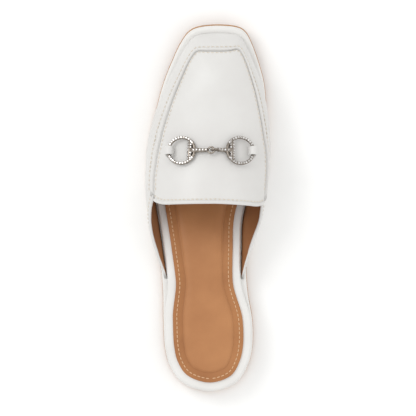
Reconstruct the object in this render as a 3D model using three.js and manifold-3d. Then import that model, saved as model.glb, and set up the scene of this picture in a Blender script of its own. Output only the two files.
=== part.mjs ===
// Backless loafer mule with a snaffle bit, left foot. Millimetres, +Z up, +Y to the toe, +X to the big-toe side.
import * as THREE from 'three';
import { mergeVertices } from 'three/addons/utils/BufferGeometryUtils.js';
import Module from 'manifold-3d';

const wasm = await Module();
wasm.setup();

// Driving dimensions
const LENGTH = 258;
const BALL_WIDTH = 87;
const HEEL_WIDTH = 63;
const INSTEP_HEIGHT = 68;
const OUTSOLE_THICKNESS = 3.5;
const WEDGE_AT_BALL = 6.5;
const WEDGE_AT_HEEL = 15.5;
const WEDGE_FLARE = 1.5;
const FOOTBED_THICKNESS = 5;
const INSOLE_THICKNESS = 1.6;
const INSOLE_RIM = 5.6;
const PAD_RISE = 1.6;
const PAD_MARGIN = 7;
const TOE_SPRING = 10;
const ARCH_RISE = 1.5;
const UPPER_WALL = 1.8;
const UPPER_LEDGE = 1.4;
const UPPER_BULGE = 6;
const APRON_THICKNESS = 1.4;
const RIDGE_HEIGHT = 2.3;
const RIDGE_WIDTH = 2.4;
const WIRE = 2.2;
const RING_RADIUS = 9.2;
const POST_WIDTH = 3.4;
const BAR_START = 4;
const BAR_END = 2.8;
const EYE_RADIUS = 2.2;
const EYE_WIRE = 1.2;
const BIT_LIFT = 1.9;
const KEEPER_WIDTH = 6;
const KEEPER_LEATHER = 1.1;
const GAP = 0.3;

// Smaller dimensions
const FEATHER_INSET = 0.6;
const TOE_LAG = 1.5;
const BULGE_FADE = 0.9;
const TOE_LEDGE = 1.8;
const APRON_TUCK = 0.5;
const LINK_LIFT = 1;
const POST_PLACE = 0.62;

// Points nearer than this are one corner
const MERGE = 1e-4;

// Stations along the shoe, as shares of its length from the heel
const HEEL_SEAT_END = 0.2;
const BALL = 0.64;
const SPRING_START = 0.7;
const ARCH = { from: 0.26, to: 0.52 };
const QUARTER_END = 0.312;
const THROAT_CORNER = 0.545;
const TAB_END = 0.512;
const BIT_STATION = 0.648;
const TAB_OVERHANG = 0.004;
const MIDDLE_FROM = 0.13;
const MIDDLE_TO = 0.86;

// Turns from the base of the vamp to its ridge
const TAB_CORNER = 0.2;
const SEAM_STEP = 0.012;
const SWELL_TURN = 0.4;
const RING_TURN = { lateral: 0.75, medial: 0.77 };

// Outline of the sole seen from above: half-widths as shares of the named width
const OUTLINE = [
  { at: 0.024, lateral: 0.33, medial: 0.28, of: HEEL_WIDTH },
  { at: 0.072, lateral: 0.475, medial: 0.41, of: HEEL_WIDTH },
  { at: 0.121, lateral: 0.525, medial: 0.459, of: HEEL_WIDTH },
  { at: 0.193, lateral: 0.541, medial: 0.459, of: HEEL_WIDTH },
  { at: 0.266, lateral: 0.545, medial: 0.41, of: HEEL_WIDTH },
  { at: 0.32, lateral: 0.405, medial: 0.283, of: BALL_WIDTH },
  { at: 0.387, lateral: 0.435, medial: 0.285, of: BALL_WIDTH },
  { at: 0.46, lateral: 0.47, medial: 0.293, of: BALL_WIDTH },
  { at: 0.556, lateral: 0.508, medial: 0.362, of: BALL_WIDTH },
  { at: 0.628, lateral: 0.51, medial: 0.44, of: BALL_WIDTH },
  { at: 0.7, lateral: 0.488, medial: 0.449, of: BALL_WIDTH },
  { at: 0.773, lateral: 0.446, medial: 0.446, of: BALL_WIDTH },
  { at: 0.846, lateral: 0.386, medial: 0.424, of: BALL_WIDTH },
  { at: 0.9, lateral: 0.323, medial: 0.38, of: BALL_WIDTH },
  { at: 0.95, lateral: 0.254, medial: 0.326, of: BALL_WIDTH },
  { at: 0.98, lateral: 0.19, medial: 0.278, of: BALL_WIDTH },
  { at: 0.993, lateral: 0.125, medial: 0.225, of: BALL_WIDTH },
];

// How far the upper's sides swell over the narrow waist of the sole, as shares of the ball width
const SWELL = [
  { at: 0.266, lateral: 0, medial: 0 },
  { at: 0.32, lateral: 0.007, medial: 0.003 },
  { at: 0.387, lateral: 0.017, medial: 0.04 },
  { at: 0.46, lateral: 0.02, medial: 0.079 },
  { at: 0.556, lateral: 0.006, medial: 0.052 },
  { at: 0.628, lateral: 0, medial: 0 },
];
const HEEL_TIP = -0.012;
const TOE_TIP = 0.05;

// Ridge of the vamp: height as a share of the instep, sideways place as a share of the ball width
const CROWN = [
  { at: 0.3, up: 1.0, over: -0.03 },
  { at: 0.45, up: 1.0, over: -0.025 },
  { at: 0.52, up: 0.985, over: -0.015 },
  { at: 0.6, up: 0.935, over: 0 },
  { at: 0.68, up: 0.855, over: 0.015 },
  { at: 0.76, up: 0.755, over: 0.03 },
  { at: 0.82, up: 0.672, over: 0.042 },
  { at: 0.92, up: 0.56, over: 0.05 },
];

// Moccasin seam: how far up each side it runs, as a share of the turn from base to ridge, and how square the side is
const SEAM = [
  { at: 0.3, lateral: 0.42, medial: 0.3, squareLateral: 2.3, squareMedial: 2.7 },
  { at: 0.56, lateral: 0.42, medial: 0.3, squareLateral: 2.3, squareMedial: 2.7 },
  { at: 0.7, lateral: 0.48, medial: 0.42, squareLateral: 2.35, squareMedial: 2.65 },
  { at: 0.85, lateral: 0.495, medial: 0.465, squareLateral: 2.4, squareMedial: 2.5 },
  { at: 0.943, lateral: 0.475, medial: 0.43, squareLateral: 2.4, squareMedial: 2.4 },
  { at: 0.98, lateral: 0.485, medial: 0.45, squareLateral: 2.4, squareMedial: 2.4 },
  { at: 1, lateral: 0.565, medial: 0.565, squareLateral: 2.4, squareMedial: 2.4 },
];

// Rows of corners from the back edge of the upper to its toe
const ROWS = 28;

const lerp = THREE.MathUtils.lerp;
const smoothstep = THREE.MathUtils.smoothstep;

// Smooth value of one column of a table at a station
function lookUp(rows, column, at) {
  const last = rows.length - 1;
  const place = THREE.MathUtils.clamp(at, rows[0].at, rows[last].at);
  let i = rows.findIndex((row) => row.at >= place);
  i = Math.max(i, 1);
  const slope = (j) => {
    const before = rows[Math.max(j - 1, 0)];
    const after = rows[Math.min(j + 1, last)];
    return (after[column] - before[column]) / (after.at - before.at);
  };
  const span = rows[i].at - rows[i - 1].at;
  const t = (place - rows[i - 1].at) / span;
  const t2 = t * t;
  const t3 = t2 * t;
  return (2 * t3 - 3 * t2 + 1) * rows[i - 1][column] + (t3 - 2 * t2 + t) * span * slope(i - 1)
    + (3 * t2 - 2 * t3) * rows[i][column] + (t3 - t2) * span * slope(i);
}

// Closed outline from the heel tip up the lateral side to the toe and back down the medial side
const outlinePoints = [
  new THREE.Vector3(HEEL_TIP * BALL_WIDTH, 0, 0),
  ...OUTLINE.map((row) => new THREE.Vector3(-row.lateral * row.of, row.at * LENGTH, 0)),
  new THREE.Vector3(TOE_TIP * BALL_WIDTH, LENGTH, 0),
  ...[...OUTLINE].reverse().map((row) => new THREE.Vector3(row.medial * row.of, row.at * LENGTH, 0)),
];
const outline = new THREE.CatmullRomCurve3(outlinePoints, true, 'centripetal');
const TOE_STEP = OUTLINE.length + 1;
const STEPS = 2 * TOE_STEP;

// Point of the outline, moved inwards; steps count table rows from the heel tip to the toe tip
function planPoint(side, step, inset) {
  const place = (side === 'lateral' ? step : STEPS - step) / STEPS;
  const point = outline.getPoint(place % 1);
  const along = outline.getTangent(place % 1);
  return new THREE.Vector2(point.x + inset * along.y, point.y - inset * along.x);
}

// Step of the outline at a station of the shoe
function stepAt(at) {
  const stations = [0, ...OUTLINE.map((row) => row.at), 1];
  const i = Math.max(stations.findIndex((station) => station >= at), 1);
  return i - 1 + (at - stations[i - 1]) / (stations[i] - stations[i - 1]);
}

// Height of the ground side of the sole above the floor, and its slope
function ground(y) {
  const at = y / LENGTH;
  const spring = Math.max(at - SPRING_START, 0) / (1 - SPRING_START);
  const arch = THREE.MathUtils.clamp((at - ARCH.from) / (ARCH.to - ARCH.from), 0, 1);
  return TOE_SPRING * spring ** 2 + ARCH_RISE * Math.sin(Math.PI * arch) ** 2;
}

// Stands a point of the flat last at a height square to the bent sole
function stand(x, y, height) {
  const reach = LENGTH / 1000;
  const angle = Math.atan2(ground(y + reach) - ground(y - reach), 2 * reach);
  return new THREE.Vector3(x, y - height * Math.sin(angle), ground(y) + height * Math.cos(angle));
}

// Height of the wedge's top above the ground side, along the shoe
function wedgeTop(y) {
  const share = 1 - smoothstep(y / LENGTH, HEEL_SEAT_END, BALL);
  return OUTSOLE_THICKNESS + lerp(WEDGE_AT_BALL, WEDGE_AT_HEEL, share);
}

function footbedTop(y) {
  return wedgeTop(y) + GAP + FOOTBED_THICKNESS;
}

// How much further in the upper's base lies round the toe, where the sole shows as a ledge
function toeLedge(y) {
  return TOE_LEDGE * smoothstep(y / LENGTH, BALL, 1);
}

// How far inside the outline the footbed lies: near the edge at the heel, inside the upper further on
function footbedInset(y) {
  const inUpper = UPPER_LEDGE + UPPER_WALL + 4 * GAP;
  return lerp(WEDGE_FLARE, inUpper, smoothstep(y / LENGTH, HEEL_SEAT_END, QUARTER_END)) + toeLedge(y);
}

function geometryOf(points, triangles) {
  const geometry = new THREE.BufferGeometry().setFromPoints(points);
  geometry.setIndex(triangles.flat());
  return geometry;
}

// Step of a ring's corner at its share of the way from heel to toe, closer together at both ends
function ringStep(share) {
  return TOE_STEP * (share - 0.08 * Math.sin(2 * Math.PI * share));
}

// Moves a point of the plan towards the middle line of the sole, or round the toe and heel towards that line's end
function towardsMiddle(point, distance) {
  const y = Math.min(Math.max(point.y, MIDDLE_FROM * LENGTH), MIDDLE_TO * LENGTH);
  const step = stepAt(y / LENGTH);
  const across = planPoint('lateral', step, 0).add(planPoint('medial', step, 0)).x / 2;
  const middle = new THREE.Vector2(across, y);
  return point.clone().lerp(middle, distance / point.distanceTo(middle));
}

// Closed solid from rings of the outline, one above the other, each with its inset, its way inwards and its height
function stack(levels) {
  const perSide = 2 * TOE_STEP;
  const count = 2 * perSide;
  const points = [];
  for (const level of levels) {
    for (let i = 0; i < count; i += 1) {
      const side = i <= perSide ? 'lateral' : 'medial';
      const step = ringStep((i <= perSide ? i : count - i) / perSide);
      const edge = planPoint(side, step, 0);
      const rim = planPoint(side, step, level.inset(edge.y));
      const inner = towardsMiddle(rim, level.inwards ?? 0);
      points.push(stand(inner.x, inner.y, level.height(inner.y)));
    }
  }
  const triangles = [];
  for (let ring = 0; ring + 1 < levels.length; ring += 1) {
    for (let i = 0; i < count; i += 1) {
      const a = ring * count + i;
      const b = ring * count + ((i + 1) % count);
      triangles.push([a, a + count, b], [b, a + count, b + count]);
    }
  }
  const top = (levels.length - 1) * count;
  for (let i = 0; i < perSide; i += 1) {
    const [a, b] = [i, i + 1];
    const [c, d] = [(count - i) % count, count - i - 1];
    triangles.push([a, b, c], [c, b, d]);
    triangles.push([top + a, top + c, top + b], [top + c, top + d, top + b]);
  }
  return geometryOf(points, triangles.filter((t) => new Set(t).size === 3));
}

function makeOutsole() {
  const levels = [
    { inset: () => 1.2, height: () => 0 },
    { inset: () => 0.2, height: () => 0.9 },
    { inset: () => 0, height: () => OUTSOLE_THICKNESS - GAP },
  ];
  return stack(levels);
}

function makeWedge() {
  const levels = [
    { inset: () => 0.5, height: () => OUTSOLE_THICKNESS },
    { inset: () => 0.3, height: () => OUTSOLE_THICKNESS + 1 },
    { inset: () => WEDGE_FLARE - 0.8, height: (y) => wedgeTop(y) - 1.2 },
    { inset: () => WEDGE_FLARE - 0.5, height: (y) => wedgeTop(y) - 0.4 },
    { inset: () => WEDGE_FLARE, height: wedgeTop },
  ];
  return stack(levels);
}

function makeFootbed() {
  const rim = (inwards) => (y) => footbedInset(y) + inwards;
  const levels = [
    { inset: rim(0.6), height: (y) => wedgeTop(y) + GAP },
    { inset: rim(0.1), height: (y) => wedgeTop(y) + GAP + 1 },
    { inset: rim(0), height: (y) => footbedTop(y) - 1.9 },
    { inset: rim(0.6), height: (y) => footbedTop(y) - 0.6 },
    { inset: rim(1.9), height: footbedTop },
  ];
  return stack(levels);
}

function makeInsole() {
  const pad = INSOLE_RIM + PAD_MARGIN;
  const levels = [
    { inwards: INSOLE_RIM, up: GAP },
    { inwards: INSOLE_RIM, up: INSOLE_THICKNESS - 0.4 },
    { inwards: INSOLE_RIM + 0.6, up: INSOLE_THICKNESS },
    { inwards: pad, up: INSOLE_THICKNESS },
    { inwards: pad + 2, up: INSOLE_THICKNESS + PAD_RISE * 0.7 },
    { inwards: pad + 5, up: INSOLE_THICKNESS + PAD_RISE },
  ];
  return stack(levels.map(({ inwards, up }) => ({ inset: footbedInset, inwards, height: (y) => footbedTop(y) + up })));
}

// Turn of the seam on one side at a station, from 0 at the base to 1 at the ridge
function seamTurn(side, at) {
  return lookUp(SEAM, side, at);
}

// Fall of the vamp's ridge along the shoe
function crownSlope(at) {
  const reach = 0.01;
  const rise = lookUp(CROWN, 'up', at + reach) - lookUp(CROWN, 'up', at - reach);
  return (rise * INSTEP_HEIGHT) / (2 * reach * LENGTH);
}

// Outer surface of the upper: a superellipse from the base edge to the ridge, fanned round the toe
function vamp(side, step, turn) {
  const ledge = WEDGE_FLARE + UPPER_LEDGE - FEATHER_INSET + toeLedge(planPoint(side, step, 0).y);
  const base = planPoint(side, step, ledge);
  const out = planPoint(side, step, 0).sub(planPoint(side, step, 1));
  const at = base.y / LENGTH;
  const lag = TOE_LAG * Math.max(at - SPRING_START, 0) ** 2;
  const ridgeAt = at - lag;
  const square = lookUp(SEAM, side === 'lateral' ? 'squareLateral' : 'squareMedial', step > TOE_STEP - 1 ? 1 : at);
  const angle = (turn * Math.PI) / 2;
  const inward = 1 - Math.cos(angle) ** (2 / square);
  const up = Math.sin(angle) ** (2 / square);
  const bulge = UPPER_BULGE * (1 - BULGE_FADE * smoothstep(at, BALL, 1)) * Math.sin(Math.PI * Math.min(up, 1));
  const low = wedgeTop(base.y) + 2 * GAP;
  const ridge = new THREE.Vector2(lookUp(CROWN, 'over', ridgeAt) * BALL_WIDTH, ridgeAt * LENGTH);
  const crown = lookUp(CROWN, 'up', ridgeAt) * INSTEP_HEIGHT;
  const swell = lookUp(SWELL, side, at) * BALL_WIDTH * (1 - inward) * smoothstep(up, 0, SWELL_TURN);
  const plan = base.clone().lerp(ridge, inward).addScaledVector(out, bulge + swell);
  const fall = (plan.y - ridge.y) * crownSlope(ridgeAt) * up;
  return stand(plan.x, plan.y, lerp(low, crown, up) + fall);
}

// Back edge of the upper at each turn: the quarter's line up to the throat corner, then the rounded tab
function backAt(turn, seam) {
  if (turn < seam) {
    return lerp(QUARTER_END, THROAT_CORNER, (turn / seam) ** 0.8);
  }
  const across = Math.min((turn - seam) / TAB_CORNER, 1);
  return lerp(THROAT_CORNER, TAB_END, Math.sqrt(1 - (1 - across) ** 2));
}

// Sheet of the upper's surface between two turns measured from the seam, as points, triangles and how far each is raised
function sheet(columns, rows, backShift) {
  const points = [];
  const raised = [];
  const last = columns.length - 1;
  const index = (side, i, j) => {
    const shared = side === 'medial' && (j === last || i === rows);
    const block = side === 'medial' && !shared ? (rows + 1) * (last + 1) : 0;
    return block + i * (last + 1) + j;
  };
  for (const side of ['lateral', 'medial']) {
    for (let i = 0; i <= rows; i += 1) {
      for (let j = 0; j <= last; j += 1) {
        const seamBack = seamTurn(side, THROAT_CORNER);
        const backTurn = columns[j].turn(seamBack);
        const back = stepAt(backAt(backTurn, seamBack) - backShift);
        const step = lerp(back, TOE_STEP, i / rows);
        const at = Math.min(planPoint(side, step, 0).y / LENGTH, 1);
        const turn = columns[j].turn(seamTurn(side, i === rows ? 1 : at));
        points.push(vamp(side, step, turn));
        raised.push(columns[j].raise);
      }
    }
  }
  const triangles = [];
  for (const side of ['lateral', 'medial']) {
    for (let i = 0; i < rows; i += 1) {
      for (let j = 0; j < last; j += 1) {
        const [a, b] = [index(side, i, j), index(side, i, j + 1)];
        const [c, d] = [index(side, i + 1, j), index(side, i + 1, j + 1)];
        const quad = side === 'lateral' ? [[a, b, c], [b, d, c]] : [[a, c, b], [b, c, d]];
        triangles.push(...quad);
      }
    }
  }
  return { points, triangles, raised };
}

// Closed solid between two offsets of a sheet, with its open edges walled
function thicken({ points, triangles, raised }, over, under) {
  const skin = geometryOf(points, triangles);
  skin.computeVertexNormals();
  const normals = points.map((_, i) => new THREE.Vector3().fromBufferAttribute(skin.attributes.normal, i));
  const outer = points.map((point, i) => point.clone().addScaledVector(normals[i], over + raised[i]));
  const inner = points.map((point, i) => point.clone().addScaledVector(normals[i], -under));
  const count = points.length;
  const faces = [...triangles, ...triangles.map(([a, b, c]) => [a + count, c + count, b + count])];
  const edges = new Map();
  for (const [a, b, c] of triangles) {
    for (const [from, to] of [[a, b], [b, c], [c, a]]) {
      const twin = `${to} ${from}`;
      if (edges.has(twin)) {
        edges.delete(twin);
      } else {
        edges.set(`${from} ${to}`, [from, to]);
      }
    }
  }
  for (const [from, to] of edges.values()) {
    faces.push([from, from + count, to], [to, from + count, to + count]);
  }
  const used = new Set(faces.flat());
  const all = [...outer, ...inner].map((point, i) => (used.has(i) ? point : null));
  const kept = [];
  const place = all.map((point) => (point ? kept.push(point) - 1 : -1));
  return geometryOf(kept, faces.map((face) => face.map((i) => place[i])));
}

// Columns of the upper from base to ridge, with the raised seam as a step in its wall
function upperColumns() {
  const ridgeTurn = RIDGE_WIDTH / INSTEP_HEIGHT;
  const wall = [0, 0.14, 0.3, 0.46, 0.62, 0.78, 0.9];
  const top = [0.16, 0.34, 0.55, 0.78, 1];
  const below = (share) => ({ turn: (seam) => share * (seam - ridgeTurn), raise: 0 });
  const above = (share) => ({ turn: (seam) => lerp(seam + ridgeTurn / 2, 1, share), raise: 0 });
  return [
    ...wall.map(below),
    { turn: (seam) => seam - ridgeTurn, raise: 0 },
    { turn: (seam) => seam - ridgeTurn * 0.6, raise: RIDGE_HEIGHT * 0.8 },
    { turn: (seam) => seam - ridgeTurn * 0.2, raise: RIDGE_HEIGHT },
    { turn: (seam) => seam + ridgeTurn * 0.2, raise: RIDGE_HEIGHT * 0.8 },
    above(0),
    ...top.map(above),
  ];
}

function apronColumns() {
  const ridgeTurn = RIDGE_WIDTH / INSTEP_HEIGHT;
  const shares = [0, 0.12, 0.26, 0.42, 0.6, 0.8, 1];
  return shares.map((share) => ({
    turn: (seam) => lerp(seam + ridgeTurn / 2 + SEAM_STEP, 1, share),
    raise: share === 0 ? -APRON_TUCK : 0,
  }));
}

function solidOf(geometry) {
  const bare = geometry.clone();
  bare.deleteAttribute('normal');
  bare.deleteAttribute('uv');
  bare.attributes.position.array.forEach((value, i, all) => {
    all[i] = Math.round(value / MERGE) * MERGE;
  });
  const merged = mergeVertices(bare, MERGE / 10);
  return new wasm.Manifold(new wasm.Mesh({
    numProp: 3,
    vertProperties: merged.attributes.position.array,
    triVerts: new Uint32Array(merged.index.array),
  }));
}

function geometryFrom(solid) {
  const mesh = solid.getMesh();
  const geometry = new THREE.BufferGeometry();
  geometry.setAttribute('position', new THREE.BufferAttribute(mesh.vertProperties, 3));
  geometry.setIndex(new THREE.BufferAttribute(mesh.triVerts, 1));
  return geometry;
}

// Place above the vamp: its point, its outward direction and the height above the surface
function above(side, turn, lift) {
  const step = stepAt(BIT_STATION);
  const point = vamp(side, step, turn);
  const acrossStep = vamp(side, step, turn).sub(vamp(side, step, turn - 0.01));
  const alongStep = vamp(side, step + 0.05, turn).sub(vamp(side, step - 0.05, turn));
  const out = acrossStep.cross(alongStep).normalize();
  if (out.z < 0) {
    out.negate();
  }
  return { point: point.addScaledVector(out, GAP + APRON_THICKNESS + lift), out };
}

// Frame of one half of the bit: its ring's centre, the way to the linked middle, and the way out of the vamp
function bitFrame(side) {
  const ring = above(side, RING_TURN[side], BIT_LIFT + WIRE / 2);
  const middle = above(side, 1, BIT_LIFT + WIRE / 2 + LINK_LIFT);
  const inwards = middle.point.clone().sub(ring.point);
  const reach = inwards.length();
  inwards.normalize();
  const out = ring.out.clone().addScaledVector(inwards, -ring.out.dot(inwards)).normalize();
  const along = new THREE.Vector3().crossVectors(out, inwards);
  return { reach, matrix: new THREE.Matrix4().makeBasis(inwards, along, out).setPosition(ring.point) };
}

// D ring with its straight post toward the middle, a tapered bar and an end eye, joined as one casting
function bitHalf(side) {
  const frame = bitFrame(side);
  const postAt = RING_RADIUS * POST_PLACE;
  const eyeOffset = EYE_RADIUS / 2;
  const ring = solidOf(new THREE.TorusGeometry(RING_RADIUS, WIRE / 2, 8, 36));
  const postLength = 2 * Math.sqrt(RING_RADIUS ** 2 - postAt ** 2);
  const post = solidOf(new THREE.CylinderGeometry(POST_WIDTH / 2, POST_WIDTH / 2, postLength, 10).translate(postAt, 0, 0));
  const barEnd = frame.reach - eyeOffset - EYE_RADIUS;
  const bar = solidOf(new THREE.CylinderGeometry(BAR_END / 2, BAR_START / 2, barEnd - postAt, 10)
    .rotateZ(-Math.PI / 2).translate((barEnd + postAt) / 2, 0, 0));
  const eyeShape = new THREE.TorusGeometry(EYE_RADIUS, EYE_WIRE / 2, 8, 18);
  if (side === 'medial') {
    eyeShape.rotateX(Math.PI / 2);
  }
  const eye = solidOf(eyeShape.translate(frame.reach - eyeOffset, 0, 0));
  const joined = ring.add(post).add(bar).add(eye);
  return geometryFrom(joined).applyMatrix4(frame.matrix);
}

// Leather loop that bridges the ring's outer arc, both feet on the apron
function keeper(side) {
  const frame = bitFrame(side);
  const sag = KEEPER_WIDTH ** 2 / (8 * RING_RADIUS);
  const inner = (WIRE + sag) / 2 + 1.5 * GAP;
  const outer = inner + KEEPER_LEATHER;
  const foot = -2 * (BIT_LIFT + WIRE);
  const arch = new THREE.Shape();
  arch.moveTo(-outer, foot);
  arch.lineTo(-inner, foot);
  arch.lineTo(-inner, 0);
  arch.absarc(0, 0, inner, Math.PI, 0, true);
  arch.lineTo(inner, foot);
  arch.lineTo(outer, foot);
  arch.lineTo(outer, 0);
  arch.absarc(0, 0, outer, 0, Math.PI, false);
  arch.closePath();
  const strap = new THREE.ExtrudeGeometry(arch, { depth: KEEPER_WIDTH, bevelEnabled: false, curveSegments: 8 });
  strap.translate(0, 0, -KEEPER_WIDTH / 2).rotateX(Math.PI / 2).translate(sag / 2 - RING_RADIUS, 0, 0);
  const under = thicken(sheet(apronColumns(), ROWS, TAB_OVERHANG), APRON_THICKNESS + 2 * GAP, 4 * BIT_LIFT);
  return geometryFrom(solidOf(strap.applyMatrix4(frame.matrix)).subtract(solidOf(under)));
}

const whiteLeather = { color: 0xe8e7e3, roughness: 0.45, metalness: 0 };
const tanLeather = { color: 0xb9845a, roughness: 0.55, metalness: 0 };
const tanRubber = { color: 0xb58a62, roughness: 0.7, metalness: 0 };
const silver = { color: 0xc9c7c4, roughness: 0.2, metalness: 1 };

const shoe = new THREE.Group();
function add(name, geometry, finish) {
  const mesh = new THREE.Mesh(geometry, new THREE.MeshStandardMaterial(finish));
  mesh.name = name;
  shoe.add(mesh);
}

add('outsole', makeOutsole(), tanRubber);
add('wedge', makeWedge(), whiteLeather);
add('footbed', makeFootbed(), whiteLeather);
add('insole', makeInsole(), tanLeather);
add('upper', thicken(sheet(upperColumns(), ROWS, 0), 0, UPPER_WALL), whiteLeather);
add('apron', thicken(sheet(apronColumns(), ROWS, TAB_OVERHANG), GAP + APRON_THICKNESS, -GAP), whiteLeather);
add('bit_lateral', bitHalf('lateral'), silver);
add('bit_medial', bitHalf('medial'), silver);
add('keeper_lateral', keeper('lateral'), whiteLeather);
add('keeper_medial', keeper('medial'), whiteLeather);

// The origin is on the floor under the middle of the shoe
const box = new THREE.Box3().setFromObject(shoe);
const centre = box.getCenter(new THREE.Vector3());
shoe.position.set(-centre.x, -centre.y, -box.min.z);

export default shoe;
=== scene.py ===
"""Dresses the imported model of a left-foot leather mule: leather, stitches, lining, stones and stage."""
import math

import bpy
import numpy as np
from bpy.props import FloatProperty, FloatVectorProperty, PointerProperty
from mathutils import Matrix, Vector


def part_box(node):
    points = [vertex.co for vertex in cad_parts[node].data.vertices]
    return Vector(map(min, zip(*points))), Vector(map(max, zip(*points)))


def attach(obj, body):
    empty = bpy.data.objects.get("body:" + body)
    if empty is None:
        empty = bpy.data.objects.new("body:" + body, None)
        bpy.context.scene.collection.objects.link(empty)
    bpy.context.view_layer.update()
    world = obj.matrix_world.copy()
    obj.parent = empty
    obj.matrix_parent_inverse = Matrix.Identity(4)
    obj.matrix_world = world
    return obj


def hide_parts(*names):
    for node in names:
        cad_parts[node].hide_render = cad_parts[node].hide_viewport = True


bl_info = {
    "name": "Leather mule",
    "version": (1, 0, 0),
    "blender": (4, 5, 0),
    "location": "3D View > Sidebar > Mule",
    "description": "Smooth leather, stitches, lining, snaffle bit and stage for a mule shoe",
    "category": "Object",
}

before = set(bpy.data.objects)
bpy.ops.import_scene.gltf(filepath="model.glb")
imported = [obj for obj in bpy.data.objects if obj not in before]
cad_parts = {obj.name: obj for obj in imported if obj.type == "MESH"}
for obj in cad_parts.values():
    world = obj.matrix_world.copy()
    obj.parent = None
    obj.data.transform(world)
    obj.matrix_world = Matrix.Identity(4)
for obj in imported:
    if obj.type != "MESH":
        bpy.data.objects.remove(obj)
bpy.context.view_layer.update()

# Sizes of the solids, in millimetres
LENGTH = 258
BALL_WIDTH = 87
HEEL_WIDTH = 63
INSTEP_HEIGHT = 68
OUTSOLE_THICKNESS = 3.5
WEDGE_AT_BALL = 6.5
WEDGE_AT_HEEL = 15.5
WEDGE_FLARE = 1.5
FOOTBED_THICKNESS = 5
INSOLE_THICKNESS = 1.6
INSOLE_RIM = 5.6
PAD_RISE = 1.6
PAD_MARGIN = 7
TOE_SPRING = 10
ARCH_RISE = 1.5
UPPER_WALL = 1.8
UPPER_LEDGE = 1.4
UPPER_BULGE = 6
APRON_THICKNESS = 1.4
RIDGE_HEIGHT = 2.3
RIDGE_WIDTH = 2.4
WIRE = 2.2
RING_RADIUS = 9.2
POST_WIDTH = 3.4
BAR_START = 4
BAR_END = 2.8
EYE_RADIUS = 2.2
EYE_WIRE = 1.2
BIT_LIFT = 1.9
KEEPER_WIDTH = 6
KEEPER_LEATHER = 1.1
GAP = 0.3
FEATHER_INSET = 0.6
TOE_LAG = 1.5
BULGE_FADE = 0.9
TOE_LEDGE = 1.8
LINK_LIFT = 1
POST_PLACE = 0.62

# Stations along the shoe, as shares of its length from the heel
HEEL_SEAT_END = 0.2
BALL = 0.64
SPRING_START = 0.7
ARCH_FROM = 0.26
ARCH_TO = 0.52
QUARTER_END = 0.312
THROAT_CORNER = 0.545
TAB_END = 0.512
BIT_STATION = 0.648
TAB_OVERHANG = 0.004
MIDDLE_FROM = 0.13
MIDDLE_TO = 0.86
RING_TURN = {"lateral": 0.75, "medial": 0.77}
SIDES = ("lateral", "medial")

# Outline of the sole: station, lateral and medial half-width as shares of the named width
OUTLINE = (
    {"at": 0.024, "lateral": 0.33, "medial": 0.28, "of": HEEL_WIDTH},
    {"at": 0.072, "lateral": 0.475, "medial": 0.41, "of": HEEL_WIDTH},
    {"at": 0.121, "lateral": 0.525, "medial": 0.459, "of": HEEL_WIDTH},
    {"at": 0.193, "lateral": 0.541, "medial": 0.459, "of": HEEL_WIDTH},
    {"at": 0.266, "lateral": 0.545, "medial": 0.41, "of": HEEL_WIDTH},
    {"at": 0.32, "lateral": 0.405, "medial": 0.283, "of": BALL_WIDTH},
    {"at": 0.387, "lateral": 0.435, "medial": 0.285, "of": BALL_WIDTH},
    {"at": 0.46, "lateral": 0.47, "medial": 0.293, "of": BALL_WIDTH},
    {"at": 0.556, "lateral": 0.508, "medial": 0.362, "of": BALL_WIDTH},
    {"at": 0.628, "lateral": 0.51, "medial": 0.44, "of": BALL_WIDTH},
    {"at": 0.7, "lateral": 0.488, "medial": 0.449, "of": BALL_WIDTH},
    {"at": 0.773, "lateral": 0.446, "medial": 0.446, "of": BALL_WIDTH},
    {"at": 0.846, "lateral": 0.386, "medial": 0.424, "of": BALL_WIDTH},
    {"at": 0.9, "lateral": 0.323, "medial": 0.38, "of": BALL_WIDTH},
    {"at": 0.95, "lateral": 0.254, "medial": 0.326, "of": BALL_WIDTH},
    {"at": 0.98, "lateral": 0.19, "medial": 0.278, "of": BALL_WIDTH},
    {"at": 0.993, "lateral": 0.125, "medial": 0.225, "of": BALL_WIDTH},
)

# How far the upper's sides swell over the narrow waist of the sole, as shares of the ball width
SWELL = (
    {"at": 0.266, "lateral": 0, "medial": 0},
    {"at": 0.32, "lateral": 0.007, "medial": 0.003},
    {"at": 0.387, "lateral": 0.017, "medial": 0.04},
    {"at": 0.46, "lateral": 0.02, "medial": 0.079},
    {"at": 0.556, "lateral": 0.006, "medial": 0.052},
    {"at": 0.628, "lateral": 0, "medial": 0},
)
HEEL_TIP = -0.012
TOE_TIP = 0.05

# Ridge of the vamp: height as a share of the instep, sideways place as a share of the ball width
CROWN = (
    {"at": 0.3, "up": 1.0, "over": -0.03},
    {"at": 0.45, "up": 1.0, "over": -0.025},
    {"at": 0.52, "up": 0.985, "over": -0.015},
    {"at": 0.6, "up": 0.935, "over": 0},
    {"at": 0.68, "up": 0.855, "over": 0.015},
    {"at": 0.76, "up": 0.755, "over": 0.03},
    {"at": 0.82, "up": 0.672, "over": 0.042},
    {"at": 0.92, "up": 0.56, "over": 0.05},
)

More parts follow.
